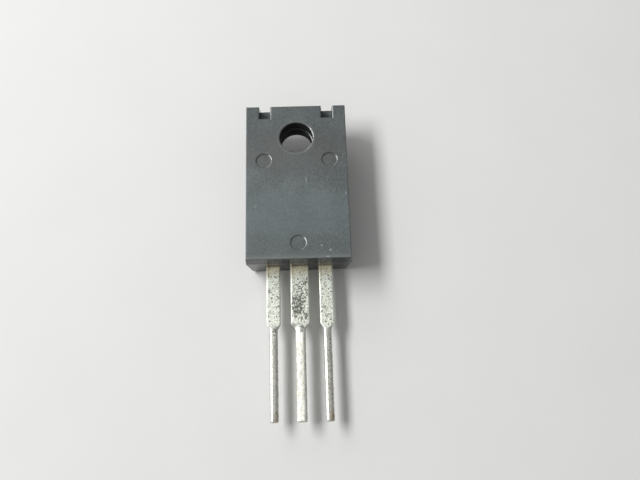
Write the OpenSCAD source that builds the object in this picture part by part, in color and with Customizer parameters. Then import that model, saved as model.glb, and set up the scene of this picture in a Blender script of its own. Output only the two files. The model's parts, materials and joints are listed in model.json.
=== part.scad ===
// Three-lead power transistor in a fully moulded single-screw case.
// It lies on its front face, with the flat mounting face up (+Z), the screw hole
// towards +Y and the leads towards -Y. The origin is the centre of the bottom of
// its bounding box. Inside the case lie the copper lead frame, the chip, the solder
// under the chip and the two bond wires.

/* [Moulded case] */
// Width of the case at its parting line
body_w = 10.1; // [9.7:0.1:11]
// Length of the case at its parting line
body_l = 16.55; // [16:0.05:18]
// Thickness from the front face to the mounting face
body_t = 4.4; // [4.2:0.1:5]
// Thickness of the tab round the screw hole
tab_t = 2.55; // [2.3:0.05:2.9]
// Length of the tab, from the hole end to the foot of its slope
tab_l = 6.6; // [6:0.1:7]
// Run of the slope between the tab and the thick part
slope_run = 0.9; // [0.5:0.1:1.3]
// Depth of the parting line below the mounting face
part_depth = 1.2; // [1:0.05:1.5]
// Draft of the mounting half's walls, in degrees
rear_draft = 2.5; // [1:0.5:4]
// Draft of the front half's long walls, in degrees
side_draft = 9; // [4:0.5:10]
// Draft of the front half's end walls, in degrees
end_draft = 6; // [3:0.5:8]
// Radius of the front face's edges
front_edge_r = 0.3; // [0.1:0.05:0.5]
// Radius of the mounting face's edges
rear_edge_r = 0.1; // [0.04:0.02:0.16]
// Width of the soft rim round the hole, the notches and the marks in the mounting face
rim_w = 0.1; // [0.04:0.01:0.16]
// Depth of that rim
rim_depth = 0.04; // [0.02:0.01:0.08]

/* [Screw hole] */
// Bore of the hole in the front half
bore_d = 3.2; // [3:0.05:3.4]
// Widening of the bore in the mounting half, across the diameter
bore_step = 0.16; // [0.04:0.02:0.3]
// Height of the sloping ledge between the two bores
ledge_h = 0.03; // [0.01:0.01:0.1]
// Chamfer of the hole's front rim
bore_rim = 0.07; // [0.03:0.01:0.12]
// Distance from the hole's axis to the hole end of the case
hole_to_end = 3.63; // [3.4:0.05:3.9]

/* [Corner notches] */
// Width of each notch between its walls, below the soft rim
notch_w = 1.15; // [1:0.01:1.4]
// Length of each notch below the soft rim, from the hole end
notch_l = 1.45; // [1.2:0.05:1.6]
// Distance between the two notches, below the soft rim
notch_gap = 5.12; // [4.8:0.02:5.4]
// Draft of the notch walls, in degrees
notch_draft = 5; // [1:0.5:8]

/* [Ejector marks] */
// Diameter of each round mark on the mounting face, over its soft rim
mark_d = 1.65; // [1.4:0.05:1.9]
// Depth of each mark
mark_depth = 0.1; // [0.09:0.01:0.16]
// Distance between the two marks of the upper pair
mark_gap = 6.5; // [6:0.1:7]
// Distance from the lead end to the upper pair
mark_pair_y = 10.4; // [10:0.1:10.8]
// Distance from the lead end to the lower mark
mark_low_y = 1.68; // [1.4:0.05:2.2]

/* [Leads] */
// Pitch of the leads
lead_pitch = 2.54; // [2.5:0.01:2.6]
// Length of the leads outside the case
lead_l = 14.7; // [10:0.1:18]
// Thickness of the lead strip
lead_t = 0.5; // [0.4:0.05:0.6]
// Depth of the leads' upper faces below the mounting face
lead_depth = 2.42; // [2.3:0.02:2.6]
// Length of the wide part of each lead outside the case
lead_wide_l = 5.5; // [4:0.1:7]
// Length of the shoulder between the wide and the narrow part
shoulder_l = 0.65; // [0.3:0.05:1]
// Width of the wide part of the two outer leads
outer_wide_w = 1.35; // [1.1:0.05:1.4]
// Width of the narrow part of the two outer leads
outer_narrow_w = 0.8; // [0.7:0.05:0.9]
// Width of the wide part of the centre lead
centre_wide_w = 1.8; // [1.5:0.05:1.9]
// Width of the narrow part of the centre lead
centre_narrow_w = 0.95; // [0.7:0.05:1]
// Edge radius of the wide part
wide_edge_r = 0.12; // [0.05:0.01:0.18]
// Width of the oval edges that the solder coat gives the narrow part
narrow_edge_w = 0.3; // [0.15:0.01:0.34]
// Height of those oval edges
narrow_edge_h = 0.19; // [0.1:0.01:0.24]
// Radius of the lead tips
tip_r = 0.14; // [0.05:0.01:0.16]

/* [Lead frame inside] */
// Width of the pad that carries the chip
pad_w = 7.6; // [7.4:0.1:8]
// Thickness of the pad
pad_t = 1.2; // [1:0.05:1.3]
// Moulding over the pad at the mounting face
pad_cover = 0.6; // [0.5:0.05:0.7]
// Distance from the lead end to the pad
pad_start = 3.4; // [3.2:0.1:3.8]
// Distance from the pad to the hole end
pad_end_gap = 2.15; // [2:0.05:2.6]
// Moulding between the screw hole and the pad
hole_cover = 1.05; // [0.95:0.05:1.2]
// Start of the centre lead's upward bend, from the lead end
joggle_start = 1.2; // [1:0.1:1.4]
// Run of that bend
joggle_run = 1.3; // [1.1:0.1:1.6]
// Width of the post at the inner end of each outer lead
post_w = 2.6; // [2.2:0.1:2.8]
// Length of each post
post_l = 1.6; // [1.3:0.1:1.8]
// Distance from the lead end to the posts
post_start = 0.9; // [0.7:0.1:1.1]
// Length of the neck between each post and its lead
post_neck = 0.3; // [0.2:0.05:0.4]
// Outward offset of each post from its lead
post_shift = 0.36; // [0.25:0.01:0.5]

/* [Chip and wires] */
// Side of the square chip
die_w = 3.6; // [3:0.1:4.2]
// Thickness of the chip
die_t = 0.25; // [0.2:0.01:0.3]
// Distance from the start of the pad to the chip's middle
die_from_pad = 3; // [2.6:0.1:3.4]
// Thickness of the solder under the chip
solder_t = 0.05; // [0.03:0.01:0.1]
// Margin of the solder round the chip
solder_margin = 0.15; // [0.05:0.05:0.3]
// Diameter of the base wire
base_wire_d = 0.3; // [0.2:0.02:0.34]
// Diameter of the emitter wire
emitter_wire_d = 0.4; // [0.3:0.02:0.44]
// Radius of the wires' loops
wire_loop_r = 3.2; // [2.9:0.1:3.6]
// Sideways place of each bond on the chip, from the middle
bond_side = 0.9; // [0.7:0.1:1.1]
// Distance of the bonds on the chip from its middle, towards the leads
bond_front = 1; // [0.8:0.1:1.2]
// Length of each bond's flattened foot, from centre to centre of its round ends
foot_l = 0.5; // [0.3:0.05:0.6]

/* [Hidden] */
$fn = 96;

// Every cut runs this far past the face that it opens
overrun = 0.2;
// Flats in each rounded corner of an outline
corner_steps = 5;
// Sections along each lead's shoulder and tip
shoulder_steps = 8;
tip_steps = 4;
// Width and height of a bond's foot as shares of its wire's diameter
foot_width_share = 1.4;
foot_height_share = 0.6;

case_colour = [0.38, 0.42, 0.43];
tin_colour = [0.76, 0.77, 0.72];
silicon_colour = [0.35, 0.36, 0.42];
solder_colour = [0.62, 0.62, 0.60];
wire_colour = [0.85, 0.86, 0.87];

// Heights above the front face
part_z = body_t - part_depth;
tab_z = body_t - tab_t;
lead_z = body_t - lead_depth - lead_t / 2;
post_z = lead_z - lead_t / 2;
pad_z = body_t - pad_cover - pad_t;
die_z = pad_z - solder_t - die_t;

// Places along the case, from the lead end of its parting line
hole_y = body_l - hole_to_end;
slope_y = body_l - tab_l - slope_run;
pad_end = body_l - pad_end_gap;
die_y = pad_start + die_from_pad;
post_y = post_start + post_l / 2;
bond_y = die_y - bond_front;
post_x = lead_pitch + post_shift;

// The drafted walls lean in from the parting line by these amounts
rear_in = part_depth * tan(rear_draft);
side_in = part_z * tan(side_draft);
lead_end_in = part_z * tan(end_draft);
hole_end_in = (part_z - tab_z) * tan(end_draft);

// Reach of the soft rim's slope, carried on past the mounting face
rim_out = rim_w * (1 + overrun / rim_depth);

// Edges of each lead's wide part, round, and of its narrow part, oval
wide_edge = [wide_edge_r, wide_edge_r];
narrow_edge = [narrow_edge_w, narrow_edge_h];

// Middle of the whole length, which the origin lies under
middle_y = (body_l - lead_l) / 2;

function unit(v) = v / norm(v);

// Arc of radius r that rounds the corner b between its neighbours a and c.
function corner_arc(a, b, c, r) =
    let (u = unit(a - b),
         v = unit(c - b),
         half = acos(u * v) / 2,
         centre = b + unit(u + v) * r / sin(half),
         from = b + u * r / tan(half) - centre,
         to = b + v * r / tan(half) - centre,
         start = atan2(from.y, from.x),
         sweep = (atan2(to.y, to.x) - start + 540) % 360 - 180)
    [for (i = [0 : corner_steps])
        let (angle = start + sweep * i / corner_steps)
        centre + r * [cos(angle), sin(angle)]];

// Outline with each corner rounded by its own radius; zero keeps it sharp.
function softened(points, radii) =
    let (n = len(points))
    [for (i = [0 : n - 1])
        each radii[i] == 0
            ? [points[i]]
            : corner_arc(points[(i + n - 1) % n], points[i], points[(i + 1) % n], radii[i])];

// Rectangle round the origin with oval corners of size [width, height], counter-clockwise.
function rounded_rect(w, t, edge) =
    [for (quarter = [0 : 3])
        let (side_x = quarter == 0 || quarter == 3 ? 1 : -1,
             side_y = quarter < 2 ? 1 : -1)
        for (i = [0 : corner_steps])
            let (angle = 90 * (quarter + i / corner_steps))
            [side_x * (w / 2 - edge.x) + edge.x * cos(angle),
             side_y * (t / 2 - edge.y) + edge.y * sin(angle)]];

// Moves a piece from the case's own coordinates to the part's origin.
module placed() {
    translate([0, -middle_y, 0]) children();
}

// Draws an outline given as (x, z) points and extrudes it along +Y.
module along_y(start, stop) {
    translate([0, stop, 0]) rotate([90, 0, 0]) linear_extrude(stop - start) children();
}

// Draws an outline given as (y, z) points and extrudes it across X.
module across_x(width) {
    translate([-width / 2, 0, 0]) rotate([90, 0, 90]) linear_extrude(width) children();
}

// Cross-section of the case: two drafted halves that meet at the parting line.
module case_cross_section() {
    half = body_w / 2;
    polygon(softened(
        [[side_in - half, 0], [half - side_in, 0], [half, part_z],
         [half - rear_in, body_t], [rear_in - half, body_t], [-half, part_z]],
        [front_edge_r, front_edge_r, 0, rear_edge_r, rear_edge_r, 0]));
}

// Side outline of the case: thick part, slope and tab, with drafted ends.
module case_side_outline() {
    polygon(softened(
        [[lead_end_in, 0], [slope_y, 0], [slope_y + slope_run, tab_z],
         [body_l - hole_end_in, tab_z], [body_l, part_z], [body_l - rear_in, body_t],
         [rear_in, body_t], [0, part_z]],
        [front_edge_r, front_edge_r, front_edge_r, front_edge_r, 0, rear_edge_r, rear_edge_r, 0]));
}

// Outer form of the moulding: what both outlines have in common.
module case_form() {
    intersection() {
        along_y(-overrun, body_l + overrun) case_cross_section();
        across_x(body_w + 2 * overrun) case_side_outline();
    }
}

// Screw hole, formed by two core pins of slightly different size that met at the
// parting line, with a soft rim in the mounting face and a small chamfer at the front.
module screw_hole() {
    entry_d = bore_d + bore_step;
    flare = bore_rim + overrun;
    translate([0, hole_y, 0]) {
        translate([0, 0, tab_z - overrun]) cylinder(d = bore_d, h = tab_t);
        translate([0, 0, part_z - ledge_h]) cylinder(d1 = bore_d, d2 = entry_d, h = ledge_h);
        translate([0, 0, part_z]) cylinder(d = entry_d, h = part_depth + overrun);
        translate([0, 0, body_t - rim_depth])
            cylinder(d1 = entry_d, d2 = entry_d + 2 * rim_out, h = rim_depth + overrun);
        translate([0, 0, tab_z - overrun])
            cylinder(d1 = bore_d + 2 * flare, d2 = bore_d, h = flare);
    }
}

// The two notches in the hole end. Their walls lean in to floors on the parting line and
// open into a soft rim at the mounting face.
module corner_notches() {
    half = notch_w / 2;
    rim_z = part_depth - rim_depth;
    floor_in = rim_z * tan(notch_draft);
    rise = part_depth + overrun;
    stop = notch_l + overrun;
    for (side = [-1, 1])
        translate([side * (notch_gap + notch_w) / 2, body_l - notch_l, part_z]) intersection() {
            along_y(-rim_out - overrun, stop)
                polygon([[floor_in - half, 0], [half - floor_in, 0], [half, rim_z],
                         [half + rim_out, rise], [-half - rim_out, rise], [-half, rim_z]]);
            across_x(notch_w + 2 * rim_out + 2 * overrun)
                polygon([[floor_in, 0], [stop, 0], [stop, rise], [-rim_out, rise], [0, rim_z]]);
        }
}

// The three round marks that the ejector pins leave in the mounting face: an upright wall
// round a flat floor, under a soft rim.
module ejector_marks() {
    pin_d = mark_d - 2 * rim_w;
    for (place = [[-mark_gap / 2, mark_pair_y], [mark_gap / 2, mark_pair_y], [0, mark_low_y]])
        translate([place.x, place.y, body_t]) {
            translate([0, 0, -mark_depth]) cylinder(d = pin_d, h = mark_depth);
            translate([0, 0, -rim_depth])
                cylinder(d1 = pin_d, d2 = pin_d + 2 * rim_out, h = rim_depth + overrun);
        }
}

// Solid lofted through sections that are each [centre, width, thickness, edge size, lean]:
// a rounded rectangle across the lead, leaning along Y by lean for each unit of height.
module loft(sections) {
    rings = [for (s = sections)
        [for (p = rounded_rect(s[1], s[2], s[3])) s[0] + [p.x, s[4] * p.y, p.y]]];
    n = len(rings[0]);
    last = (len(rings) - 1) * n;
    walls = [for (k = [0 : len(rings) - 2])
        for (j = [0 : n - 1])
            let (a = k * n + j, b = k * n + (j + 1) % n)
            each [[a, a + n, b + n], [a, b + n, b]]];
    caps = [[for (j = [0 : n - 1]) j], [for (j = [n - 1 : -1 : 0]) last + j]];
    polyhedron([for (ring = rings) each ring], concat(walls, caps));
}

// Sections of a lead outside the case: shoulder, narrow part and rounded tip.
function tail_sections(x, wide_w, narrow_w) = concat(
    [for (i = [0 : shoulder_steps])
        let (run = i / shoulder_steps,
             ease = run * run * (3 - 2 * run))
        [[x, -lead_wide_l - shoulder_l * run, lead_z],
         wide_w + (narrow_w - wide_w) * ease,
         lead_t,
         wide_edge + (narrow_edge - wide_edge) * ease,
         0]],
    [for (i = [0 : tip_steps])
        let (angle = 90 * i / tip_steps,
             inset = tip_r * (1 - cos(angle)))
        [[x, tip_r - lead_l - tip_r * sin(angle), lead_z],
         narrow_w - 2 * inset,
         lead_t - 2 * inset,
         [narrow_edge_w * (1 - 2 * inset / narrow_w), narrow_edge_h * (1 - 2 * inset / lead_t)],
         0]]);

// Outer lead on the +X side, from its bonding post to its tip.
module outer_lead() {
    loft(concat(
        [[[post_x, post_start + post_l, lead_z], post_w, lead_t, wide_edge, 0],
         [[post_x, post_start + post_neck, lead_z], post_w, lead_t, wide_edge, 0],
         [[lead_pitch, post_start, lead_z], outer_wide_w, lead_t, wide_edge, 0]],
        tail_sections(lead_pitch, outer_wide_w, outer_narrow_w)));
}

// Pad that carries the chip, open round the screw hole.
module chip_pad() {
    clear_r = bore_d / 2 + hole_cover;
    translate([0, 0, pad_z]) linear_extrude(pad_t) difference() {
        translate([-pad_w / 2, pad_start]) square([pad_w, pad_end - pad_start]);
        translate([0, hole_y]) circle(clear_r);
        translate([-clear_r, hole_y]) square([2 * clear_r, hole_to_end]);
    }
}

// Centre lead, stamped and bent in one piece with the chip's pad. It enters the pad's end
// half-way up and keeps its thickness round both corners of the upward bend.
module centre_lead() {
    pad_mid = pad_z + pad_t / 2;
    lean = -tan(atan2(pad_mid - lead_z, joggle_run) / 2);
    chip_pad();
    loft(concat(
        [for (place = [[pad_start + overrun, pad_mid, 0],
                       [joggle_start + joggle_run, pad_mid, lean],
                       [joggle_start, lead_z, lean]])
            [[0, place[0], place[1]], centre_wide_w, lead_t, wide_edge, place[2]]],
        tail_sections(0, centre_wide_w, centre_narrow_w)));
}

// Square plate under the pad, centred on the chip.
module chip_plate(side, low_z, thickness) {
    translate([-side / 2, die_y - side / 2, low_z]) cube([side, side, thickness]);
}

module chip() {
    chip_plate(die_w, die_z, die_t);
}

module chip_solder() {
    chip_plate(die_w + 2 * solder_margin, pad_z - solder_t, solder_t);
}

// Flattened foot of a bond, hanging from the face at height face_z.
module bond_foot(place, heading, wire_d, face_z) {
    translate([place.x, place.y, face_z - wire_d * foot_height_share])
        rotate([0, 0, heading])
            linear_extrude(wire_d * foot_height_share) {
                square([foot_l, wire_d * foot_width_share], center = true);
                for (end = [-1, 1])
                    translate([end * foot_l / 2, 0]) circle(d = wire_d * foot_width_share);
            }
}

// Bond wire on the +X side: a round loop from the chip to the outer lead's post.
module bond_wire(wire_d) {
    from = [bond_side, bond_y];
    to = [post_x, post_y];
    run = norm(to - from);
    rise = post_z - die_z;
    heading = atan2(to.y - from.y, to.x - from.x);
    chord = norm([run, rise]);
    sag_arm = sqrt(wire_loop_r * wire_loop_r - chord * chord / 4);
    centre = [run / 2 - sag_arm * rise / chord, rise / 2 + sag_arm * run / chord];
    start = atan2(-centre.y, -centre.x);
    sweep = 2 * asin(chord / (2 * wire_loop_r));
    difference() {
        union() {
            translate([from.x, from.y, die_z]) rotate([0, 0, heading])
                translate([centre.x, 0, centre.y]) rotate([90, 0, 0]) rotate([0, 0, start])
                    rotate_extrude(angle = sweep) translate([wire_loop_r, 0]) circle(d = wire_d);
            bond_foot(from, heading, wire_d, die_z);
            bond_foot(to, heading, wire_d, post_z);
        }
        chip();
        outer_lead();
    }
}

// Everything that the moulding encloses.
module enclosed() {
    centre_lead();
    outer_lead();
    mirror([1, 0, 0]) outer_lead();
    chip();
    chip_solder();
    bond_wire(base_wire_d);
    mirror([1, 0, 0]) bond_wire(emitter_wire_d);
}

module moulded_case() {
    color(case_colour) placed() difference() {
        case_form();
        screw_hole();
        corner_notches();
        ejector_marks();
        enclosed();
    }
}

module collector_lead() {
    color(tin_colour) placed() centre_lead();
}

module base_lead() {
    color(tin_colour) placed() outer_lead();
}

module emitter_lead() {
    color(tin_colour) placed() mirror([1, 0, 0]) outer_lead();
}

module silicon_die() {
    color(silicon_colour) placed() chip();
}

module die_attach_solder() {
    color(solder_colour) placed() chip_solder();
}

module base_bond_wire() {
    color(wire_colour) placed() bond_wire(base_wire_d);
}

module emitter_bond_wire() {
    color(wire_colour) placed() mirror([1, 0, 0]) bond_wire(emitter_wire_d);
}

moulded_case();
collector_lead();
base_lead();
emitter_lead();
silicon_die();
die_attach_solder();
base_bond_wire();
emitter_bond_wire();
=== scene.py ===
"""Dresses a three-lead power transistor and sets it on a pale studio floor.

The moulding keeps its solid and gets an epoxy finish. The three leads get finer meshes, lofted
through the sections of their own solids, with the relief that tin and solder leave on a strip.
Lengths are in metres. Places and sizes inside the finishes are in millimetres, in the part's frame.
"""

import json
import logging
import math
from dataclasses import astuple, dataclass, replace
from enum import Enum

import bmesh
import bpy
import numpy as np
from mathutils import Matrix, Vector, noise


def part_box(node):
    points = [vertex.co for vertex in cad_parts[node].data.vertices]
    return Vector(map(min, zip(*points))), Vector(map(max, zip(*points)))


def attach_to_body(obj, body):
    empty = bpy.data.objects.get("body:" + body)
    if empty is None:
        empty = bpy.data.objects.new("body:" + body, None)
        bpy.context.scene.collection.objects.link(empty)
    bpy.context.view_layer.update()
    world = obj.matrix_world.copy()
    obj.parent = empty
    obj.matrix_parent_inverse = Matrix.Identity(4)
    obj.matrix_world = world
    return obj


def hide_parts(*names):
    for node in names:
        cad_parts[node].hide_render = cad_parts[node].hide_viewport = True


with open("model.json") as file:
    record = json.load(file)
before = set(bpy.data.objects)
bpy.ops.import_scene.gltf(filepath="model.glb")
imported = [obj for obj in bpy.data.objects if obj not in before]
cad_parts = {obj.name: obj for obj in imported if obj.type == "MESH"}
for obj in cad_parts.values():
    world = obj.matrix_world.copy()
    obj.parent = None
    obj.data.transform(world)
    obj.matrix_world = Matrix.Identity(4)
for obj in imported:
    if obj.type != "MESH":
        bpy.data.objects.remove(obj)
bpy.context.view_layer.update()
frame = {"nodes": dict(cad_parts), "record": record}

LOG = logging.getLogger("transistor")
BODY = "root"
CASE = "moulded_case"
MM = 0.001

# Places on the part, in millimetres: the screw hole, the mounting face, the end wall and the leads' flats.
HOLE = next(mount for mount in frame["record"]["mounts"] if mount["name"] == "mounting_hole")
HOLE_X, HOLE_Y, _ = (value / MM for value in HOLE["pos_m"])
HOLE_RADIUS = HOLE["dims"]["r_mm"]
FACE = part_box(CASE)[1].z / MM
END_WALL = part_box(CASE)[0].y / MM
LEAD_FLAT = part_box("emitter_lead")[1].z / MM

Triple = tuple[float, float, float]
Colour = Triple
Material = bpy.types.Material
Node = bpy.types.Node
NodeTree = bpy.types.NodeTree
Socket = bpy.types.NodeSocket
Feed = float | Triple | Socket
Feeds = dict[str | int, Feed]
Ring = list[bmesh.types.BMVert]


def even(size: float) -> Triple:
    """Returns a size that is the same along all three axes."""
    return (size, size, size)


class Effect(Enum):
    """Surface effects that more than one finish uses, each a node group built once."""

    CLOUD = "cloudy_tone"
    GRAIN = "fine_grain"
    SPECKLE = "speckle"
    SPOT = "single_spot"


class Role(Enum):
    """The leads, by what each connects to."""

    EMITTER = "emitter"
    COLLECTOR = "collector"
    BASE = "base"


@dataclass(frozen=True)
class Ramp:
    """An eased change: where it starts and stops, low before the start and high after the stop."""

    start: Feed = 0.0
    stop: Feed = 1.0
    low: float = 0.0
    high: float = 1.0


@dataclass(frozen=True)
class Spot:
    """A mark on a face: place, half sizes and depth in millimetres, strength, and how ragged it is."""

    x: float
    y: float
    reach: Triple
    strength: float
    depth: float = 0.0
    ragged: float = 0.8


# From a sloping face to a level one, by the upright part of the normal.
LEVEL_TURN = Ramp(0.955, 0.995)


class Graph:
    """Adds nodes to one node tree and links them."""

    def __init__(self, tree: NodeTree) -> None:
        """Keeps the tree that the nodes go into."""
        self.tree = tree

    def node(self, kind: str, feeds: Feeds | None = None, **settings: object) -> Node:
        """Adds a node.

        Args:
            kind: The node's type name.
            feeds: What goes into each input, by name or number: a value or another node's output.
            **settings: The node's own properties.

        Returns:
            The new node.
        """
        made = self.tree.nodes.new(kind)
        for name, value in settings.items():
            setattr(made, name, value)
        self.feed_all(made, feeds or {})
        return made

    def feed_all(self, node: Node, feeds: Feeds) -> None:
        """Feeds several inputs of a node, by name or number."""
        for key, value in feeds.items():
            self.feed(node.inputs[key], value)

    def feed(self, socket: Socket, value: Feed) -> None:
        """Links an output to an input, or sets the input's own value.

        Args:
            socket: The input.
            value: An output, a number, a vector or a colour.
        """
        if isinstance(value, Socket):
            self.tree.links.new(value, socket)
        elif socket.type == "RGBA":
            socket.default_value = (*value, 1.0)
        else:
            socket.default_value = value

    def parts(self, vector: Socket) -> tuple[Socket, ...]:
        """Returns the X, Y and Z of a vector."""
        return tuple(self.node("ShaderNodeSeparateXYZ", {0: vector}).outputs)

    def math(self, operation: str, *values: Feed) -> Socket:
        """Returns the result of one sum on numbers."""
        return self.node("ShaderNodeMath", dict(enumerate(values)), operation=operation).outputs[0]

    def centred(self, value: Socket) -> Socket:
        """Returns a value that runs from 0 to 1, shifted to run from -0.5 to 0.5."""
        return self.math("SUBTRACT", value, 0.5)

    def vector(self, operation: str, *values: Feed) -> Socket:
        """Returns the result of one sum on vectors."""
        return self.node("ShaderNodeVectorMath", dict(enumerate(values)), operation=operation).outputs[0]

    def scaled(self, vector: Socket, share: Feed) -> Socket:
        """Returns a vector or a colour times a number."""
        return self.node("ShaderNodeVectorMath", {0: vector, "Scale": share}, operation="SCALE").outputs[0]

    def length(self, vector: Socket) -> Socket:
        """Returns the length of a vector."""
        return self.node("ShaderNodeVectorMath", {0: vector}, operation="LENGTH").outputs["Value"]

    def noise_at(self, vector: Socket, **feeds: float) -> Socket:
        """Returns noise of about 0 to 1, with values for the noise node's own inputs."""
        return self.node("ShaderNodeTexNoise", {"Vector": vector, **feeds}).outputs["Fac"]

    def ease(self, value: Feed, ramp: Ramp) -> Socket:
        """Follows a value along a ramp.

        Args:
            value: What the ramp follows.
            ramp: The ramp; its stop may lie below its start.

        Returns:
            The eased value.
        """
        limits = {"From Min": ramp.start, "From Max": ramp.stop, "To Min": ramp.low, "To Max": ramp.high}
        eased = self.node("ShaderNodeMapRange", {"Value": value, **limits}, interpolation_type="SMOOTHSTEP")
        return eased.outputs["Result"]

    def between(self, share: Feed, first: Feed, second: Feed) -> Socket:
        """Returns a mix of two numbers: share 0 gives the first one, 1 the second one."""
        return self.node("ShaderNodeMix", {0: share, 2: first, 3: second}).outputs[0]

    def blend(self, share: Feed, first: Feed, second: Feed) -> Socket:
        """Returns a mix of two colours: share 0 gives the first one, 1 the second one."""
        return self.node("ShaderNodeMix", {0: share, 6: first, 7: second}, data_type="RGBA").outputs[2]

    def bump(self, height: Socket, strength: float, depth: float, normal: Socket | None = None) -> Socket:
        """Turns a height over the surface into a normal.

        Args:
            height: The height; 1 stands for the full depth.
            strength: How strongly it shows.
            depth: The full depth, in metres.
            normal: The normal it starts from, where that isn't the mesh's own.

        Returns:
            The new normal.
        """
        made = self.node("ShaderNodeBump", {"Height": height, "Strength": strength, "Distance": depth})
        if normal is not None:
            self.feed(made.inputs["Normal"], normal)
        return made.outputs["Normal"]


class EffectShelf:
    """Builds each shared effect the first time that a finish asks for it."""

    CLOUD_RANGE = Ramp(0.3, 0.7)
    GRAIN_RANGE = Ramp(0.35, 1.1)
    CELL_SCALE = 0.8
    CELL_SHARE = 0.5
    SPOT_EDGE = Ramp(1.0, 0.45)

    def __init__(self) -> None:
        """Starts with an empty shelf."""
        self._made: dict[Effect, NodeTree] = {}

    def get(self, effect: Effect) -> NodeTree:
        """Hands out an effect's node group.

        Args:
            effect: Which effect.

        Returns:
            The group, built on the first call.
        """
        if effect not in self._made:
            makers = {
                Effect.CLOUD: self._cloud,
                Effect.GRAIN: self._grain,
                Effect.SPECKLE: self._speckle,
                Effect.SPOT: self._spot,
            }
            self._made[effect] = makers[effect]()
        return self._made[effect]

    @staticmethod
    def _open(effect: Effect, output: str, **inputs: str) -> tuple[Graph, Node, Node]:
        """Starts a group with its named sockets.

        Args:
            effect: Which effect the group makes.
            output: The name of its one output.
            **inputs: The name of each input and its kind, Float or Vector.

        Returns:
            The group's graph, its input node and its output node.
        """
        tree = bpy.data.node_groups.new(effect.value, "ShaderNodeTree")
        for name, kind in inputs.items():
            tree.interface.new_socket(name, in_out="INPUT", socket_type="NodeSocket" + kind)
        tree.interface.new_socket(output, in_out="OUTPUT", socket_type="NodeSocketFloat")
        graph = Graph(tree)
        return graph, graph.node("NodeGroupInput"), graph.node("NodeGroupOutput")

    @staticmethod
    def _in_sizes(graph: Graph, given: Node) -> Socket:
        """Returns the group's Place counted in units of its Size."""
        return graph.vector("DIVIDE", given.outputs["Place"], given.outputs["Size"])

    def _cloud(self) -> NodeTree:
        """Builds soft clouds of tone, from 0 to 1.

        Returns:
            The group.
        """
        graph, given, wanted = self._open(Effect.CLOUD, "Tone", Place="Vector", Size="Vector")
        cloud = graph.noise_at(self._in_sizes(graph, given), Scale=1.0, Detail=3.0, Roughness=0.55)
        graph.feed(wanted.inputs["Tone"], graph.ease(cloud, self.CLOUD_RANGE))
        return graph.tree

    def _grain(self) -> NodeTree:
        """Builds fine close grain, from 0 to 1.

        Returns:
            The group.
        """
        graph, given, wanted = self._open(Effect.GRAIN, "Height", Place="Vector", Size="Vector")
        place = self._in_sizes(graph, given)
        fine = graph.noise_at(place, Scale=1.0, Detail=2.0, Roughness=0.7)
        cells = graph.node("ShaderNodeTexVoronoi", {"Vector": place, "Scale": self.CELL_SCALE})
        both = graph.math("MULTIPLY_ADD", cells.outputs["Distance"], self.CELL_SHARE, fine)
        graph.feed(wanted.inputs["Height"], graph.ease(both, self.GRAIN_RANGE))
        return graph.tree

    def _speckle(self) -> NodeTree:
        """Builds ragged specks that cover more as Level comes down.

        Returns:
            The group.
        """
        graph, given, wanted = self._open(Effect.SPECKLE, "Mask", Place="Vector", Size="Vector",
                                          Level="Float", Edge="Float")
        place = self._in_sizes(graph, given)
        ragged = graph.noise_at(place, Scale=1.0, Detail=2.5, Roughness=0.6, Distortion=0.4)
        level = given.outputs["Level"]
        full = graph.math("ADD", level, given.outputs["Edge"])
        graph.feed(wanted.inputs["Mask"], graph.ease(ragged, Ramp(level, full)))
        return graph.tree

    def _spot(self) -> NodeTree:
        """Builds one ragged spot, 1 at its centre and 0 past its reach.

        Returns:
            The group.
        """
        graph, given, wanted = self._open(Effect.SPOT, "Mask", Place="Vector", Centre="Vector",
                                          Reach="Vector", Ragged="Float")
        offset = graph.vector("SUBTRACT", given.outputs["Place"], given.outputs["Centre"])
        in_reach = graph.vector("DIVIDE", offset, given.outputs["Reach"])
        wave = graph.centred(graph.noise_at(in_reach, Scale=2.5, Detail=2.0))
        far = graph.math("MULTIPLY_ADD", wave, given.outputs["Ragged"], graph.length(in_reach))
        graph.feed(wanted.inputs["Mask"], graph.ease(far, self.SPOT_EDGE))
        return graph.tree


class Surface(Graph):
    """The graph of one material, with the shaded point and the shared effects at hand."""

    def __init__(self, tree: NodeTree, shelf: EffectShelf) -> None:
        """Finds the shaded point in the part's own frame, in millimetres.

        Args:
            tree: The material's node tree.
            shelf: The shared effects.
        """
        super().__init__(tree)
        self.shelf = shelf
        self.coordinates = self.node("ShaderNodeTexCoord")
        self.place = self.vector("MULTIPLY", self.coordinates.outputs["Object"], even(1 / MM))

    def effect(self, effect: Effect, **feeds: Feed) -> Socket:
        """Places a shared effect at the shaded point.

        Args:
            effect: Which effect.
            **feeds: What goes into its other inputs, by name.

        Returns:
            The effect's output.
        """
        group = self.shelf.get(effect)
        return self.node("ShaderNodeGroup", {"Place": self.place, **feeds}, node_tree=group).outputs[0]

    def spot(self, spot: Spot, face: float) -> Socket:
        """Places one mark.

        Args:
            spot: The mark.
            face: The height of the face that carries it.

        Returns:
            The mark's mask, scaled by its strength.
        """
        centre = (spot.x, spot.y, face - spot.depth)
        mask = self.effect(Effect.SPOT, Centre=centre, Reach=spot.reach, Ragged=spot.ragged)
        return self.math("MULTIPLY", mask, spot.strength)

    def any_spot(self, spots: tuple[Spot, ...], face: float) -> Socket:
        """Joins the masks of several marks.

        Args:
            spots: The marks.
            face: The height of the face that carries them.

        Returns:
            The strongest of their masks.
        """
        joined = self.spot(spots[0], face)
        for spot in spots[1:]:
            joined = self.math("MAXIMUM", joined, self.spot(spot, face))
        return joined


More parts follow.
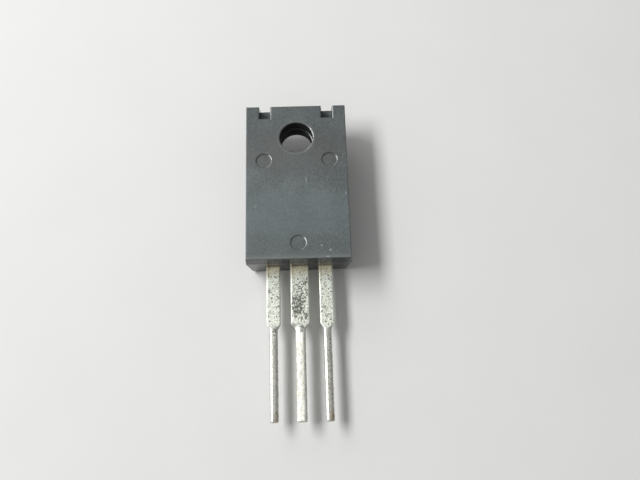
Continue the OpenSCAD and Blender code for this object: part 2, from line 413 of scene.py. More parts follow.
@dataclass(frozen=True)
class Finish:
    """A surface finish, which makes one material."""

    name: str

    def material(self, shelf: EffectShelf) -> Material:
        """Builds the material.

        Args:
            shelf: The shared effects.

        Returns:
            The new material.
        """
        made = bpy.data.materials.new(self.name)
        made.use_nodes = True
        made.node_tree.nodes.clear()
        surface = Surface(made.node_tree, shelf)
        shader = surface.node("ShaderNodeBsdfPrincipled")
        self.paint(surface, shader)
        surface.node("ShaderNodeOutputMaterial", {"Surface": self.shown(surface, shader)})
        return made

    def paint(self, surface: Surface, shader: Node) -> None:
        """Feeds the shader; each finish has its own way."""
        raise NotImplementedError

    def shown(self, surface: Surface, shader: Node) -> Socket:
        """Returns what the material shows, which is the shader as it is."""
        return shader.outputs["BSDF"]


@dataclass(frozen=True)
class EpoxyFinish(Finish):
    """Filled moulding epoxy: matt on the flat faces, glossier on the walls, with dust and small scars, and
    with painted shade on the walls, in the screw hole and in the far corner, painted shade and sheen in
    bands across the face and painted highlight along the rounded edges.
    """

    dark: Colour = (0.048, 0.056, 0.057)
    light: Colour = (0.162, 0.188, 0.189)
    light_share: float = 0.06
    cloud_size: Triple = (2.8, 4.2, 2.8)
    cloud_share: float = 0.26
    flow_size: Triple = (0.22, 0.32, 0.22)
    flow_share: float = 0.28
    grain_size: Triple = even(0.075)
    grain_share: float = 0.36
    # Painted shade and sheen: broad bands that darken the top of the face and the lead end, and lighten the
    # middle to a teal grey.
    painted_light_zones: tuple[tuple[Spot, Colour], ...] = (
        (Spot(0.0, 10.4, (9.0, 3.4, 2.0), 0.50), (0.095, 0.094, 0.090)),
        (Spot(0.0, 3.7, (9.0, 3.2, 2.0), 0.45), (0.121, 0.151, 0.155)),
        (Spot(-0.8, -0.2, (6.5, 2.6, 2.0), 0.40), (0.082, 0.096, 0.096)),
    )

    # Painted highlight: a lighter band along the end edge and round the screw hole, where the rounded edges
    # catch the light.
    painted_sheen: Colour = (0.225, 0.238, 0.220)
    end_sheen: Ramp = Ramp(END_WALL + 0.675, END_WALL + 0.075, high=0.36)
    rim_sheen: Ramp = Ramp(HOLE_RADIUS + 0.45, HOLE_RADIUS + 0.20, high=0.22)
    # Painted shade: the face's colour grows darker towards its far right corner.
    painted_shade: Ramp = Ramp(5.0, 16.0, low=1.0, high=0.78)
    painted_shade_lean: float = 0.45
    filler: Colour = (0.250, 0.262, 0.250)
    fleck_size: Triple = even(0.16)
    fleck_level: float = 0.62
    fleck_edge: float = 0.07
    fleck_share: float = 0.35

    # Painted shade: upright walls get a much darker colour than the face.
    wall: Colour = (0.024, 0.026, 0.027)
    wall_shade_share: float = 0.85
    wall_turn: Ramp = Ramp(0.70, 0.40)
    # Painted shade: the screw hole's wall is coloured nearly black.
    painted_bore_shade: Colour = (0.011, 0.012, 0.013)
    bore_reach: Ramp = Ramp(HOLE_RADIUS + 0.35, HOLE_RADIUS + 0.15)
    bore_depth: Ramp = Ramp(FACE - 0.05, FACE - 0.25)
    dust: Colour = (0.420, 0.425, 0.400)
    scars: tuple[Spot, ...] = (
        Spot(0.89, 7.25, (0.08, 0.50, 0.3), 0.32),
        Spot(2.21, 0.41, (0.14, 0.13, 0.3), 0.45),
        Spot(3.03, -0.06, (0.16, 0.12, 0.3), 0.60),
        Spot(2.77, -0.72, (0.30, 0.08, 0.2), 0.45),
        Spot(4.72, 5.75, (0.12, 0.22, 0.3), 0.25),
        Spot(-4.07, 4.58, (0.22, 0.26, 0.3), 0.12),
        Spot(-0.95, 4.05, (0.18, 0.18, 0.3), 0.10),
        Spot(4.60, 9.98, (0.07, 0.10, 0.3), 0.22),
        Spot(4.38, 9.05, (0.09, 0.08, 0.3), 0.28),
        Spot(4.19, 8.79, (0.07, 0.07, 0.3), 0.22),
        Spot(4.79, 8.84, (0.06, 0.08, 0.3), 0.20),
        Spot(2.27, 10.58, (0.16, 0.10, 0.3), 0.12),
    )

    roughness: Ramp = Ramp(low=0.165, high=0.50)
    roughness_wander: float = 0.10
    bore_roughness: float = 0.75
    grain_relief: Ramp = Ramp(low=0.2)
    scar_relief: float = 0.8
    relief_strength: float = 0.5
    relief_depth: float = 0.004 * MM
    edge_round: float = 0.018 * MM
    edge_samples: int = 6

    def paint(self, surface: Surface, shader: Node) -> None:
        """Feeds colour, roughness and relief.

        Args:
            surface: The material's graph.
            shader: Its principled shader.
        """
        flow = surface.effect(Effect.CLOUD, Size=self.flow_size)
        grain = surface.effect(Effect.GRAIN, Size=self.grain_size)
        scars = surface.any_spot(self.scars, FACE)
        off_axis = self.off_axis(surface)
        in_bore = self.in_bore(surface, off_axis)
        rounded = surface.node("ShaderNodeBevel", {"Radius": self.edge_round}, samples=self.edge_samples)
        normal = rounded.outputs["Normal"]
        facing = surface.math("ABSOLUTE", surface.parts(normal)[2])
        upright = surface.ease(facing, self.wall_turn)
        level = surface.ease(facing, LEVEL_TURN)

        colour = self.sheen_shade_and_flecks(surface, self.moulded(surface, flow, grain), off_axis)
        # Painted shade on the upright walls.
        colour = surface.blend(surface.math("MULTIPLY", upright, self.wall_shade_share), colour, self.wall)
        # Painted shade: the screw hole's wall nearly black.
        colour = surface.blend(in_bore, colour, self.painted_bore_shade)
        colour = surface.blend(scars, colour, self.dust)

        skin = surface.ease(level, self.roughness)
        skin = surface.math("MULTIPLY_ADD", surface.centred(flow), self.roughness_wander, skin)
        bore_wall = surface.math("MULTIPLY", in_bore, upright)
        relief = surface.math("MULTIPLY", grain, surface.ease(level, self.grain_relief))
        relief = surface.math("MULTIPLY_ADD", scars, self.scar_relief, relief)
        surface.feed_all(shader, {
            "Base Color": colour,
            "Roughness": surface.between(bore_wall, skin, self.bore_roughness),
            "Normal": surface.bump(relief, self.relief_strength, self.relief_depth, normal),
        })

    @staticmethod
    def off_axis(surface: Surface) -> Socket:
        """Returns the distance from the axis of the screw hole."""
        offset = surface.vector("SUBTRACT", surface.place, (HOLE_X, HOLE_Y, 0.0))
        return surface.length(surface.vector("MULTIPLY", offset, (1.0, 1.0, 0.0)))

    def in_bore(self, surface: Surface, off_axis: Socket) -> Socket:
        """Returns a mask of the screw hole's wall, below its rim."""
        below = surface.ease(surface.parts(surface.place)[2], self.bore_depth)
        return surface.math("MULTIPLY", surface.ease(off_axis, self.bore_reach), below)

    def moulded(self, surface: Surface, flow: Socket, grain: Socket) -> Socket:
        """Colours the skin as it came from the mould, then paints bands of shade and sheen across the face.

        Args:
            surface: The material's graph.
            flow: Small clouds that the flow of the melt left.
            grain: The grain of the filler.

        Returns:
            The colour.
        """
        cloud = surface.effect(Effect.CLOUD, Size=self.cloud_size)
        tone: Feed = self.light_share
        shares = (self.cloud_share, self.flow_share, self.grain_share)
        for pattern, share in zip((cloud, flow, grain), shares):
            tone = surface.math("MULTIPLY_ADD", pattern, share, tone)
        colour = surface.blend(tone, self.dark, self.light)
        # Painted shade and sheen, in bands across the face.
        for light_zone, painted_tone in self.painted_light_zones:
            colour = surface.blend(surface.spot(light_zone, FACE), colour, painted_tone)
        return colour

    def sheen_shade_and_flecks(self, surface: Surface, colour: Socket, off_axis: Socket) -> Socket:
        """Paints highlight along the end edge and round the hole, paints shade into the far right corner
        and adds flecks of filler.

        Args:
            surface: The material's graph.
            colour: The skin's colour.
            off_axis: The distance from the axis of the screw hole.

        Returns:
            The new colour.
        """
        across, along, _ = surface.parts(surface.place)
        # Painted highlight along the end edge and round the screw hole.
        rim = surface.ease(off_axis, self.rim_sheen)
        painted_sheen = surface.math("MAXIMUM", surface.ease(along, self.end_sheen), rim)
        colour = surface.blend(painted_sheen, colour, self.painted_sheen)
        # Painted shade, darker towards the far right corner.
        corner = surface.math("MULTIPLY_ADD", across, self.painted_shade_lean, along)
        colour = surface.scaled(colour, surface.ease(corner, self.painted_shade))
        flecks = surface.effect(Effect.SPECKLE, Size=self.fleck_size, Level=self.fleck_level,
                                Edge=self.fleck_edge)
        return surface.blend(surface.math("MULTIPLY", flecks, self.fleck_share), colour, self.filler)


@dataclass(frozen=True)
class TinnedFinish(Finish):
    """Tin on a copper strip: dull and pitted near the case, smooth where the ends were dipped in solder."""

    tin_dark: Colour = (0.675, 0.705, 0.620)
    tin_light: Colour = (0.945, 0.970, 0.890)
    cloud_size: Triple = (0.13, 0.16, 0.13)
    tarnish: Colour = (0.860, 0.740, 0.420)
    root_share: float = 0.55
    root: Ramp = Ramp(END_WALL - 1.175, END_WALL + 0.125, high=root_share)
    tin_metallic: Ramp = Ramp(stop=root_share, low=0.70, high=0.45)
    edge_roughness: float = 0.30
    flat_roughness: float = 0.72

    pit: Colour = (0.080, 0.085, 0.072)
    pit_size: Triple = even(0.17)
    pit_level: Ramp = Ramp(low=0.56, high=0.39)
    pit_edge: float = 0.08
    pit_share: float = 0.85
    pits_at_root: Ramp = Ramp(stop=root_share, low=1.0, high=0.5)
    patches: tuple[Spot, ...] = (
        Spot(-0.22, -4.70, (0.75, 1.20, 0.6), 1.0),
        Spot(0.00, -4.40, (1.30, 2.90, 0.6), 0.48),
        Spot(0.50, -5.75, (0.50, 0.60, 0.6), 0.6),
        Spot(0.08, -7.00, (0.40, 0.60, 0.6), 0.8),
        Spot(-2.85, -3.35, (0.35, 0.30, 0.6), 0.45),
        Spot(-2.45, -7.30, (0.26, 0.60, 0.6), 1.0),
        Spot(2.25, -4.95, (0.30, 0.40, 0.6), 0.4),
        Spot(2.60, -5.75, (0.45, 0.20, 0.6), 0.4),
        Spot(-2.02, -3.80, (0.30, 3.00, 0.6), 0.32),
        Spot(3.02, -3.80, (0.40, 3.00, 0.6), 0.26),
    )
    # Stains and painted shade: the first three marks are thin brown lines of painted shade beside the lit
    # left edges near the case; the two at the tips are stains.
    stain_and_shade: Colour = (0.400, 0.290, 0.100)
    stains_and_shade_lines: tuple[Spot, ...] = (
        Spot(-2.98, -1.35, (0.07, 0.95, 0.4), 0.6),
        Spot(-0.62, -1.45, (0.07, 1.05, 0.4), 0.6),
        Spot(2.10, -1.35, (0.07, 0.95, 0.4), 0.5),
        Spot(-2.38, -15.30, (0.30, 0.75, 0.5), 0.35, depth=0.08),
        Spot(2.72, -15.20, (0.30, 0.80, 0.5), 0.45, depth=0.08),
    )

    solder: Colour = (0.815, 0.815, 0.760)
    olive: Colour = (0.290, 0.290, 0.215)
    dip: Ramp = Ramp(END_WALL - 5.525, END_WALL - 6.125)
    dip_size: Triple = (0.45, 0.60, 0.45)
    dip_wander: float = 0.7
    dip_on_patches: Ramp = Ramp(low=1.0, high=0.1)
    run_size: Triple = (0.24, 0.52, 0.24)
    run_level: float = 0.44
    run_edge: float = 0.22
    run_share: float = 0.60
    speck_size: Triple = (0.15, 0.21, 0.15)
    speck_level: float = 0.42
    speck_edge: float = 0.16
    speck_share: float = 0.50
    coat_roughness: Ramp = Ramp(low=0.34, high=0.46)
    frost: Spot = Spot(0.0, -11.6, (1.2, 6.4, 1.2), 1.0, depth=0.08)
    frost_share: float = 0.26
    frost_calm: Ramp = Ramp(low=1.0, high=0.50)
    frost_metallic: Ramp = Ramp(low=1.0, high=0.62)
    frost_roughness: float = 0.24

    grain_size: Triple = even(0.09)
    grain_relief: float = 0.5
    run_relief: float = -0.3
    relief_under_coat: Ramp = Ramp(low=1.0, high=0.12)
    relief_strength: float = 0.9
    relief_depth: float = 0.012 * MM

    def paint(self, surface: Surface, shader: Node) -> None:
        """Feeds colour, metal, roughness and relief.

        Args:
            surface: The material's graph.
            shader: Its principled shader.
        """
        along = surface.parts(surface.place)[1]
        flat = surface.ease(surface.parts(surface.coordinates.outputs["Normal"])[2], LEVEL_TURN)
        root = surface.ease(along, self.root)
        patches = surface.any_spot(self.patches, LEAD_FLAT)
        pits = self.pitted(surface, patches, flat, root)
        dipped = self.dipped(surface, along, patches)
        frost = surface.spot(self.frost, LEAD_FLAT)
        calm = surface.ease(frost, self.frost_calm)
        runs = surface.effect(Effect.SPECKLE, Size=self.run_size, Level=self.run_level, Edge=self.run_edge)
        runs = surface.math("MULTIPLY", runs, calm)

        tin = self.tin_colour(surface, root, pits)
        colour = surface.blend(dipped, tin, self.coat_colour(surface, frost, calm, runs))
        # Stains at the tips, and painted shade beside the lit left edges near the case.
        colour = surface.blend(surface.any_spot(self.stains_and_shade_lines, LEAD_FLAT), colour, self.stain_and_shade)
        tin_metal = surface.ease(root, self.tin_metallic)
        dull = surface.between(flat, self.edge_roughness, self.flat_roughness)
        smooth = surface.ease(runs, self.coat_roughness)
        smooth = surface.math("MULTIPLY_ADD", frost, self.frost_roughness, smooth)
        relief = self.relief(surface, pits, dipped, runs)
        surface.feed_all(shader, {
            "Base Color": colour,
            "Metallic": surface.between(dipped, tin_metal, surface.ease(frost, self.frost_metallic)),
            "Roughness": surface.between(dipped, dull, smooth),
            "Normal": surface.bump(relief, self.relief_strength, self.relief_depth),
        })

    def pitted(self, surface: Surface, patches: Socket, flat: Socket, root: Socket) -> Socket:
        """Finds the pits in the tin, closer in the patches and fewer at the root.

        Args:
            surface: The material's graph.
            patches: The mask of the pitted patches.
            flat: The mask of the level faces.
            root: The mask of the tarnished root.

        Returns:
            The mask of the pits.
        """
        level = surface.ease(patches, self.pit_level)
        pits = surface.effect(Effect.SPECKLE, Size=self.pit_size, Level=level, Edge=self.pit_edge)
        pits = surface.math("MULTIPLY", pits, surface.math("MAXIMUM", flat, patches))
        return surface.math("MULTIPLY", pits, surface.ease(root, self.pits_at_root))

    def dipped(self, surface: Surface, along: Socket, patches: Socket) -> Socket:
        """Finds the end that was dipped in solder, up to a line that wanders.

        Args:
            surface: The material's graph.
            along: The place along the lead.
            patches: The mask of the pitted patches, which took little solder.

        Returns:
            The mask of the solder coat.
        """
        wander = surface.centred(surface.effect(Effect.CLOUD, Size=self.dip_size))
        line = surface.math("MULTIPLY_ADD", wander, self.dip_wander, along)
        taken = surface.ease(patches, self.dip_on_patches)
        return surface.math("MULTIPLY", surface.ease(line, self.dip), taken)

    def tin_colour(self, surface: Surface, root: Socket, pits: Socket) -> Socket:
        """Colours the bare tin.

        Args:
            surface: The material's graph.
            root: The mask of the tarnished root.
            pits: The mask of the pits.

        Returns:
            The colour.
        """
        cloud = surface.effect(Effect.CLOUD, Size=self.cloud_size)
        tin = surface.blend(cloud, self.tin_dark, self.tin_light)
        tin = surface.blend(root, tin, self.tarnish)
        return surface.blend(surface.math("MULTIPLY", pits, self.pit_share), tin, self.pit)

    def coat_colour(self, surface: Surface, frost: Socket, calm: Socket, runs: Socket) -> Socket:
        """Colours the solder coat.

        Args:
            surface: The material's graph.
            frost: The mask of the frosted part.
            calm: How much the runs and specks show.
            runs: The mask of the runs in the solder.

        Returns:
            The colour.
        """
        specks = surface.effect(Effect.SPECKLE, Size=self.speck_size, Level=self.speck_level,
                                Edge=self.speck_edge)
        specks = surface.math("MULTIPLY", surface.centred(specks), calm)
        dulling = surface.math("MULTIPLY", runs, self.run_share)
        dulling = surface.math("MULTIPLY_ADD", frost, self.frost_share, dulling)
        dulling = surface.math("MULTIPLY_ADD", specks, self.speck_share, dulling)
        return surface.blend(dulling, self.solder, self.olive)

    def relief(self, surface: Surface, pits: Socket, dipped: Socket, runs: Socket) -> Socket:
        """Raises the grain and sinks the pits and runs.

        Args:
            surface: The material's graph.
            pits: The mask of the pits.
            dipped: The mask of the solder coat, which fills most of the relief.
            runs: The mask of the runs in the solder.

        Returns:
            The height.
        """
        grain = surface.effect(Effect.GRAIN, Size=self.grain_size)
        tin = surface.math("SUBTRACT", surface.math("MULTIPLY", grain, self.grain_relief), pits)
        tin = surface.math("MULTIPLY", tin, surface.ease(dipped, self.relief_under_coat))
        coat = surface.math("MULTIPLY", surface.math("MULTIPLY", runs, self.run_relief), dipped)
        return surface.math("ADD", tin, coat)


@dataclass(frozen=True)
class InnerFinish(Finish):
    """Finish of a piece inside the moulding: two tones, a grain and a range of roughness."""

    dark: Colour
    light: Colour
    metallic: float
    roughness: Ramp
    cloud_size: Triple
    grain_size: Triple
    relief_depth: float
    relief_strength: float = 0.4

    def paint(self, surface: Surface, shader: Node) -> None:
        """Feeds colour, metal, roughness and relief.

        Args:
            surface: The material's graph.
            shader: Its principled shader.
        """
        cloud = surface.effect(Effect.CLOUD, Size=self.cloud_size)
        grain = surface.effect(Effect.GRAIN, Size=self.grain_size)
        surface.feed_all(shader, {
            "Base Color": surface.blend(cloud, self.dark, self.light),
            "Metallic": self.metallic,
            "Roughness": surface.ease(grain, self.roughness),
            "Normal": surface.bump(grain, self.relief_strength, self.relief_depth),
        })


@dataclass(frozen=True)
class FloorFinish(Finish):
    """Plain pale matt board, see-through from below and at close touch, so that the underside shows."""

    dark: Colour = (0.744, 0.744, 0.734)
    light: Colour = (0.756, 0.756, 0.746)
    cloud_size: Triple = even(9.0)
    roughness: float = 0.9
    specular: float = 0.1
    touch: float = 0.1 * MM

    def paint(self, surface: Surface, shader: Node) -> None:
        """Feeds the colour and sets the sheen.

        Args:
            surface: The material's graph.
            shader: Its principled shader.
        """
        cloud = surface.effect(Effect.CLOUD, Size=self.cloud_size)
        surface.feed_all(shader, {
            "Base Color": surface.blend(cloud, self.dark, self.light),
            "Roughness": self.roughness,
            "Specular IOR Level": self.specular,
        })

    def shown(self, surface: Surface, shader: Node) -> Socket:
        """Lets through the back of the board and rays from what lies on it.

        Args:
            surface: The material's graph.
            shader: Its principled shader.

        Returns:
            The shader, mixed with a clear one.
        """
        behind = surface.node("ShaderNodeNewGeometry").outputs["Backfacing"]
        ray_length = surface.node("ShaderNodeLightPath").outputs["Ray Length"]
        through = surface.math("MAXIMUM", behind, surface.math("LESS_THAN", ray_length, self.touch))
        board = shader.outputs["BSDF"]
        clear = surface.node("ShaderNodeBsdfTransparent").outputs["BSDF"]
        return surface.node("ShaderNodeMixShader", {0: through, 1: board, 2: clear}).outputs[0]


def dress_node(name: str, material: Material) -> None:
    """Gives a CAD node a finish by its material slot.

    Args:
        name: The node's name.
        material: The finish.
    """
    slot = frame["nodes"][name].material_slots[0]
    slot.link = "OBJECT"
    slot.material = material
    LOG.info("dressed %s with %s", name, material.name)


@dataclass
class MouldedCase:
    """The epoxy moulding, shown as its own solid."""

    node: str = CASE
    finish: EpoxyFinish = EpoxyFinish("moulding_epoxy")

    def dress(self, shelf: EffectShelf) -> None:
        """Gives the moulding its finish."""
        dress_node(self.node, self.finish.material(shelf))


@dataclass(frozen=True)
class Section:
    """One section across a lead: its place, its half sizes and the half sizes of its flats."""

    y: float
    x: float
    z: float
    half_w: float
    half_t: float
    flat_w: float
    flat_t: float

    def towards(self, other: "Section", share: float) -> "Section":
        """Returns the section that lies a share of the way to another one."""
        mine, theirs = np.array(astuple(self)), np.array(astuple(other))
        return Section(*(mine + (theirs - mine) * share))


@dataclass
class TinnedLead:
    """One lead of the strip, lofted finely through its solid's sections and joined to its inner end."""

    role: Role
    slant: float = 0.0
    crown_share: float = 0.25
    crown_round_share: float = 1.5
    cut_inside: float = 0.45 * MM
    step: float = 0.07 * MM
    corner_steps: int = 7
    flat_steps: int = 8
    side_steps: int = 2
    relief: float = 0.014 * MM
    wave: Triple = (0.45 * MM, 1.1 * MM, 0.45 * MM)
    wave_falloff: float = 0.8
    wave_lacunarity: float = 2.1
    wave_octaves: int = 3
    tip_fade: float = 0.4 * MM
    same_level: float = 0.002 * MM
    weld: float = 0.0002 * MM
    crease: float = math.radians(40)
    slot: str = "tinned_copper"

    @property
    def node(self) -> str:
        """Returns the name of the lead's solid."""
        return f"{self.role.value}_lead"

    @property
    def piece(self) -> str:
        """Returns the name of the finer piece."""
        return f"{self.node}_tinned"

    def sections(self) -> list[Section]:
        """Measures the solid's sections from inside the case to the tip.

        Returns:
            The sections in order, the first one on the cut.
        """
        points = np.array([vertex.co for vertex in frame["nodes"][self.node].data.vertices])
        cut_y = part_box(CASE)[0].y + self.cut_inside
        points = points[points[:, 1] < cut_y]
        levels = np.unique((points[:, 1] / self.same_level).round()) * self.same_level
        found = []
        for y in sorted(levels, reverse=True):
            found.append(self.section(points[np.abs(points[:, 1] - y) < self.same_level]))
        return [replace(found[0], y=cut_y), *found]

    def section(self, ring: np.ndarray) -> Section:
        """Measures one section.

        Args:
            ring: The solid's vertices at one place along the lead.

        Returns:
            The section's place and sizes.
        """
        low, high = ring.min(0), ring.max(0)
        middle, half = (low + high) / 2, (high - low) / 2
        top = np.abs(ring[:, 2] - high[2]) < self.same_level
        side = np.abs(ring[:, 0] - high[0]) < self.same_level
        flat_w = np.abs(ring[top, 0] - middle[0]).max()
        flat_t = np.abs(ring[side, 2] - middle[2]).max()
        return Section(middle[1], middle[0], middle[2], half[0], half[2], flat_w, flat_t)

    def stations(self) -> list[Section]:
        """Sets further sections close between the measured ones.

        Returns:
            All the sections, from the cut to the tip.
        """
        found = self.sections()
        close = [found[0]]
        for before, after in zip(found, found[1:]):
            steps = max(1, math.ceil((before.y - after.y) / self.step))
            close += [before.towards(after, k / steps) for k in range(1, steps + 1)]
        return close

    def outline(self, section: Section) -> list[Vector]:
        """Draws a section's outline, with oval corners and evenly stepped flats.

        Args:
            section: The section.

        Returns:
            The points, counter-clockwise seen from the tip.
        """
        round_w = section.half_w - section.flat_w
        round_t = section.half_t - section.flat_t
        points = []
        for quarter, (side_x, side_z) in enumerate(((1, 1), (-1, 1), (-1, -1), (1, -1))):
            for step in range(self.corner_steps + 1):
                angle = math.pi / 2 * (quarter + step / self.corner_steps)
                points.append((side_x * section.flat_w + round_w * math.cos(angle),
                               side_z * section.flat_t + round_t * math.sin(angle)))
            along_x = quarter % 2 == 0
            flat_x = -2 * side_x * section.flat_w if along_x else 0
            flat_z = 0 if along_x else -2 * side_z * section.flat_t
            steps = self.flat_steps if along_x else self.side_steps
            corner_x, corner_z = points[-1]
            for k in range(1, steps):
                points.append((corner_x + flat_x * k / steps, corner_z + flat_z * k / steps))
        return [Vector((section.x + x, section.y, section.z + z)) for x, z in points]

    def build(self) -> bpy.types.Object:
        """Builds the lead's mesh and puts it in the solid's place.

        Returns:
            The new piece.
        """
        bm = self.loft()
        mesh = bpy.data.meshes.new(self.piece)
        bm.to_mesh(mesh)
        bm.free()
        mesh.shade_smooth()
        mesh.set_sharp_from_angle(angle=self.crease)
        made = bpy.data.objects.new(self.piece, mesh)
        bpy.context.scene.collection.objects.link(made)
        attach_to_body(made, BODY)
        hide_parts(self.node)
        LOG.info("built %s: %d faces", self.piece, len(mesh.polygons))
        return made

    def loft(self) -> bmesh.types.BMesh:
        """Lofts the lead outside the cut and joins it to what the solid has inside.

        Returns:
            The closed mesh, with the waves of the tin and the slant of the solder coat.
        """
        sections = self.stations()
        bm = bmesh.new()
        bm.from_mesh(frame["nodes"][self.node].data)
        bmesh.ops.remove_doubles(bm, verts=bm.verts, dist=self.weld)
        bmesh.ops.bisect_plane(bm, geom=[*bm.verts, *bm.edges, *bm.faces], plane_co=(0, sections[0].y, 0),
                               plane_no=(0, -1, 0), clear_outer=True)
        seam = [edge for edge in bm.edges if edge.is_boundary]
        rings = [[bm.verts.new(point) for point in self.outline(section)] for section in sections]
        for first, second in zip(rings, rings[1:]):
            self.add_wall(bm, first, second)
        bm.faces.new(rings[-1])
        start = rings[0]
        start_loop = [bm.edges.get(pair) for pair in zip(start, start[1:] + start[:1])]
        bmesh.ops.bridge_loops(bm, edges=seam + start_loop)
        bmesh.ops.remove_doubles(bm, verts=bm.verts, dist=self.weld)
        bmesh.ops.recalc_face_normals(bm, faces=bm.faces)
        bm.normal_update()
        for section, ring in zip(sections[1:], rings[1:]):
            self.settle(section, ring, sections)
        return bm

    @staticmethod
    def add_wall(bm: bmesh.types.BMesh, first: Ring, second: Ring) -> None:
        """Joins two rings by a band of faces.

        Args:
            bm: The mesh that both rings are in.
            first: The ring nearer to the case.
            second: The ring nearer to the tip.
        """
        count = len(first)
        for k in range(count):
            n = (k + 1) % count
            bm.faces.new((first[k], first[n], second[n], second[k]))

    def settle(self, section: Section, ring: Ring, sections: list[Section]) -> None:
        """Sinks one ring's vertices by the waves of the tin and by the slant of the solder coat.

        Args:
            section: The ring's section.
            ring: Its vertices.
            sections: All the lead's sections, from the case to the tip.
        """
        wide, narrow = sections[0].half_w, min(s.half_w for s in sections)
        dipped = (wide - section.half_w) / (wide - narrow)
        near_tip = min(1.0, (section.y - sections[-1].y) / self.tip_fade)
        for vertex in ring:
            place = Vector(p / w for p, w in zip(vertex.co, self.wave))
            swell = noise.fractal(place, self.wave_falloff, self.wave_lacunarity, self.wave_octaves)
            wave = self.relief * near_tip * (1 + swell) / 2
            up = max(0.0, vertex.co.z - section.z) / section.half_t
            drop = self.drop(section, vertex.co.x) * dipped
            vertex.co -= vertex.normal * max(0.0, wave)
            vertex.co.z -= drop * up

    def drop(self, section: Section, x: float) -> float:
        """Measures how far the solder coat slants down at a place across the lead.

        Args:
            section: The lead's section there.
            x: The place across the lead.

        Returns:
            The depth below the flat that the coat has on its right side.
        """
        crown = section.half_w * self.crown_share
        soft = section.half_w * self.crown_round_share
        edge = section.half_w - section.flat_w
        left = max(0.0, section.x + crown - x)
        on_flat = min(left, crown + section.flat_w)
        on_edge = min(left - on_flat, edge)
        fall = on_flat ** 2 / (2 * soft) if on_flat < soft else on_flat - soft / 2
        return (fall + on_edge - on_edge ** 2 / (2 * edge)) * math.tan(self.slant)

    @staticmethod
    def dress(piece: bpy.types.Object, material: Material) -> None:
        """Gives the lead its finish.

        Args:
            piece: The lead's finer piece.
            material: The finish.
        """
        piece.data.materials.clear()
        piece.data.materials.append(material)
        LOG.info("dressed %s with %s", piece.name, material.name)


@dataclass
class LeadStrip:
    """The three leads. On two of them the solder coat slants down to the left."""

    leads: tuple[TinnedLead, ...] = (
        TinnedLead(Role.EMITTER),
        TinnedLead(Role.COLLECTOR, slant=math.radians(22), crown_share=0.90),
        TinnedLead(Role.BASE, slant=math.radians(6)),
    )
    finish: TinnedFinish = TinnedFinish("tinned_strip")

    def build(self, shelf: EffectShelf) -> None:
        """Builds and dresses each lead.

        Args:
            shelf: The shared effects.
        """
        material = self.finish.material(shelf)
        for lead in self.leads:
            lead.dress(lead.build(), material)


@dataclass
class InnerPieces:
    """The chip, its solder and the two bond wires, sealed in the moulding."""

    chip: InnerFinish = InnerFinish(
        "polished_silicon",
        dark=(0.10, 0.11, 0.15),
        light=(0.15, 0.16, 0.20),
        metallic=0.4,
        roughness=Ramp(low=0.12, high=0.20),
        cloud_size=even(0.9),
        grain_size=even(0.05),
        relief_depth=0.001 * MM,
    )
    attach: InnerFinish = InnerFinish(
        "attach_solder",
        dark=(0.40, 0.40, 0.38),
        light=(0.52, 0.52, 0.50),
        metallic=1.0,
        roughness=Ramp(low=0.35, high=0.55),
        cloud_size=even(0.3),
        grain_size=even(0.06),
        relief_depth=0.004 * MM,
    )
    wire: InnerFinish = InnerFinish(
        "drawn_wire",
        dark=(0.70, 0.71, 0.73),
        light=(0.80, 0.81, 0.82),
        metallic=1.0,
        roughness=Ramp(low=0.22, high=0.36),
        cloud_size=even(0.2),
        grain_size=(0.03, 0.12, 0.03),
        relief_depth=0.002 * MM,
    )

    def dress(self, shelf: EffectShelf) -> None:
        """Gives each inner piece its finish.

        Args:
            shelf: The shared effects.
        """
        dress_node("silicon_die", self.chip.material(shelf))
        dress_node("die_attach_solder", self.attach.material(shelf))
        wire = self.wire.material(shelf)
        for name in ("base_bond_wire", "emitter_bond_wire"):
            dress_node(name, wire)


@dataclass
class Softbox:
    """One rectangular area lamp: its place, the point it looks at, its sides and its power."""

    name: str
    place: Triple
    toward: Triple
    length: float
    height: float
    power: float

    def set_up(self) -> None:
        """Puts the lamp in place and turns it to its point."""
        lamp = bpy.data.lights.new(self.name, "AREA")
        lamp.shape = "RECTANGLE"
        lamp.size = self.length
        lamp.size_y = self.height
        lamp.energy = self.power
        made = bpy.data.objects.new(self.name, lamp)
        made.location = self.place
        back = Vector(self.place) - Vector(self.toward)
        made.rotation_euler = back.to_track_quat("Z", "Y").to_euler()
        bpy.context.scene.collection.objects.link(made)


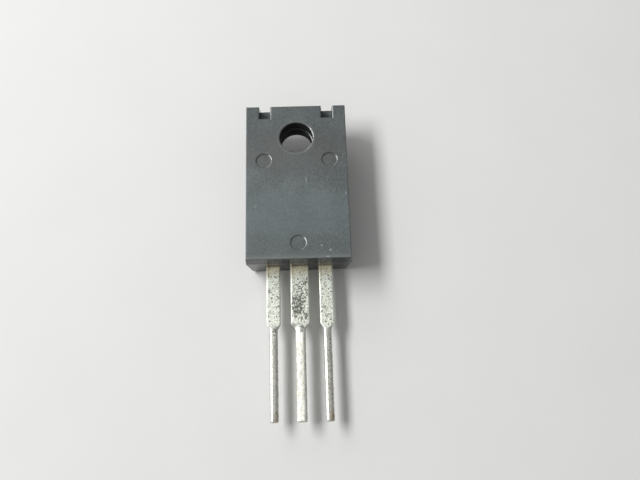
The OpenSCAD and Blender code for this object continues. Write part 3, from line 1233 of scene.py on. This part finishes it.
@dataclass
class Studio:
    """Pale floor, plain surroundings and two soft lamps: a key on the left and a panel further back."""

    floor_side: float = 3.0
    floor_gap: float = 0.02 * MM
    finish: FloorFinish = FloorFinish("floor_board")
    sky: Ramp = Ramp(-1.0, 1.0, low=0.36, high=0.27)
    lamps: tuple[Softbox, ...] = (
        Softbox("key_strip", place=(-0.200, 0.070, 0.245), toward=(0.0, 0.070, 0.0),
                length=0.27, height=0.075, power=0.954),
        Softbox("back_panel", place=(-0.200, 0.330, 0.200), toward=(0.0, 0.0, 0.0),
                length=0.25, height=0.15, power=0.353),
    )

    def set_up(self, shelf: EffectShelf) -> None:
        """Builds the floor, the surroundings and the lamps.

        Args:
            shelf: The shared effects.
        """
        bpy.context.scene.view_settings.view_transform = "Standard"
        self.lay_floor(shelf)
        self.set_sky()
        for lamp in self.lamps:
            lamp.set_up()
        LOG.info("set up the floor and %d lamps", len(self.lamps))

    def lay_floor(self, shelf: EffectShelf) -> None:
        """Lays the floor board just under the part.

        Args:
            shelf: The shared effects.
        """
        half = self.floor_side / 2
        corners = [(x * half, y * half, -self.floor_gap) for x, y in ((-1, -1), (1, -1), (1, 1), (-1, 1))]
        mesh = bpy.data.meshes.new("floor")
        mesh.from_pydata(corners, [], [(0, 1, 2, 3)])
        mesh.materials.append(self.finish.material(shelf))
        floor = bpy.data.objects.new("floor", mesh)
        bpy.context.scene.collection.objects.link(floor)

    def set_sky(self) -> None:
        """Makes the surroundings, a little lighter on the left."""
        world = bpy.data.worlds.new("surroundings")
        world.use_nodes = True
        graph = Graph(world.node_tree)
        across = graph.parts(graph.node("ShaderNodeTexCoord").outputs["Generated"])[0]
        graph.feed(world.node_tree.nodes["Background"].inputs["Color"], graph.ease(across, self.sky))
        bpy.context.scene.world = world


@dataclass
class PhotoCamera:
    """Camera that sees the part as the photograph does, in a frame of 640 by 480 pixels."""

    azimuth: float = math.radians(-2.054)
    elevation: float = math.radians(69.287)
    roll: float = math.radians(0.378)
    target: Triple = (2.064 * MM, 0.940 * MM, FACE * MM)
    distance: float = 71.88 * MM
    focal_pixels: float = 757.6
    frame_pixels: int = 640
    sensor: float = 36.0
    clip_start: float = 1 * MM

    def place(self) -> None:
        """Makes the scene's camera."""
        flat = math.cos(self.elevation)
        back = Vector((math.sin(self.azimuth) * flat, -math.cos(self.azimuth) * flat,
                       math.sin(self.elevation)))
        right = Vector((0, 0, 1)).cross(back).normalized()
        turn = Matrix((right, back.cross(right), back)).transposed() @ Matrix.Rotation(self.roll, 3, "Z")
        data = bpy.data.cameras.new("photo_camera")
        data.sensor_width = self.sensor
        data.sensor_fit = "HORIZONTAL"
        data.lens = self.focal_pixels / self.frame_pixels * self.sensor
        data.clip_start = self.clip_start
        camera = bpy.data.objects.new("photo_camera", data)
        camera.matrix_world = Matrix.Translation(Vector(self.target) + back * self.distance) @ turn.to_4x4()
        bpy.context.scene.collection.objects.link(camera)
        bpy.context.scene.camera = camera


def main() -> None:
    """Sets up camera and studio, then builds and dresses each piece."""
    logging.basicConfig(level=logging.INFO, format="%(message)s")
    shelf = EffectShelf()
    PhotoCamera().place()
    Studio().set_up(shelf)
    MouldedCase().dress(shelf)
    LeadStrip().build(shelf)
    InnerPieces().dress(shelf)


if __name__ == "__main__":
    main()
